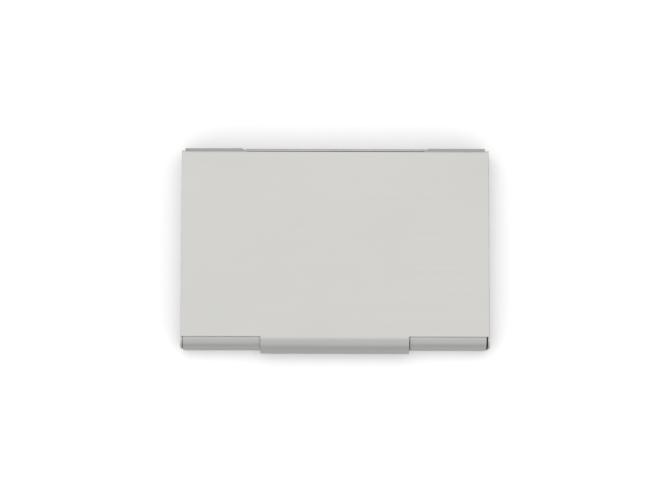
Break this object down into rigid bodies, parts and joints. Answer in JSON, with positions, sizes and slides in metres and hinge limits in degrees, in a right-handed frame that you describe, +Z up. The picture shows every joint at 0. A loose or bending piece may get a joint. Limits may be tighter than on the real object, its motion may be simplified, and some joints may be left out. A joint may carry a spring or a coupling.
{
  "type": "business card case",
  "caption": "Flat hinged metal case for business cards: a folded sheet tray and a lid that turns on rolled knuckles along the rear edge.",
  "frame": {"origin": "middle of the case's underside, on the surface it lies on", "axes": "+X along the hinge, +Y from the hinge towards the opening edge, +Z up through the lid"},
  "size_m": [0.095, 0.0635, 0.01],
  "materials": {
    "anodised_aluminium": "satin anodised, clear",
    "pin_steel": "drawn",
    "black_plastic": "moulded, matt"
  },
  "bodies": {
    "tray": {"base_tray": "anodised_aluminium", "hinge_pin": "pin_steel", "end_core_left": "black_plastic", "end_core_right": "black_plastic"},
    "lid": {"lid": "anodised_aluminium", "lid_core": "black_plastic"}
  },
  "joints": [
    {"name": "lid_hinge", "type": "hinge", "parent": "tray", "child": "lid", "pos_m": [0, -0.02675, 0.005], "axis": [1, 0, 0], "range_deg": [0, 115]}
  ]
}
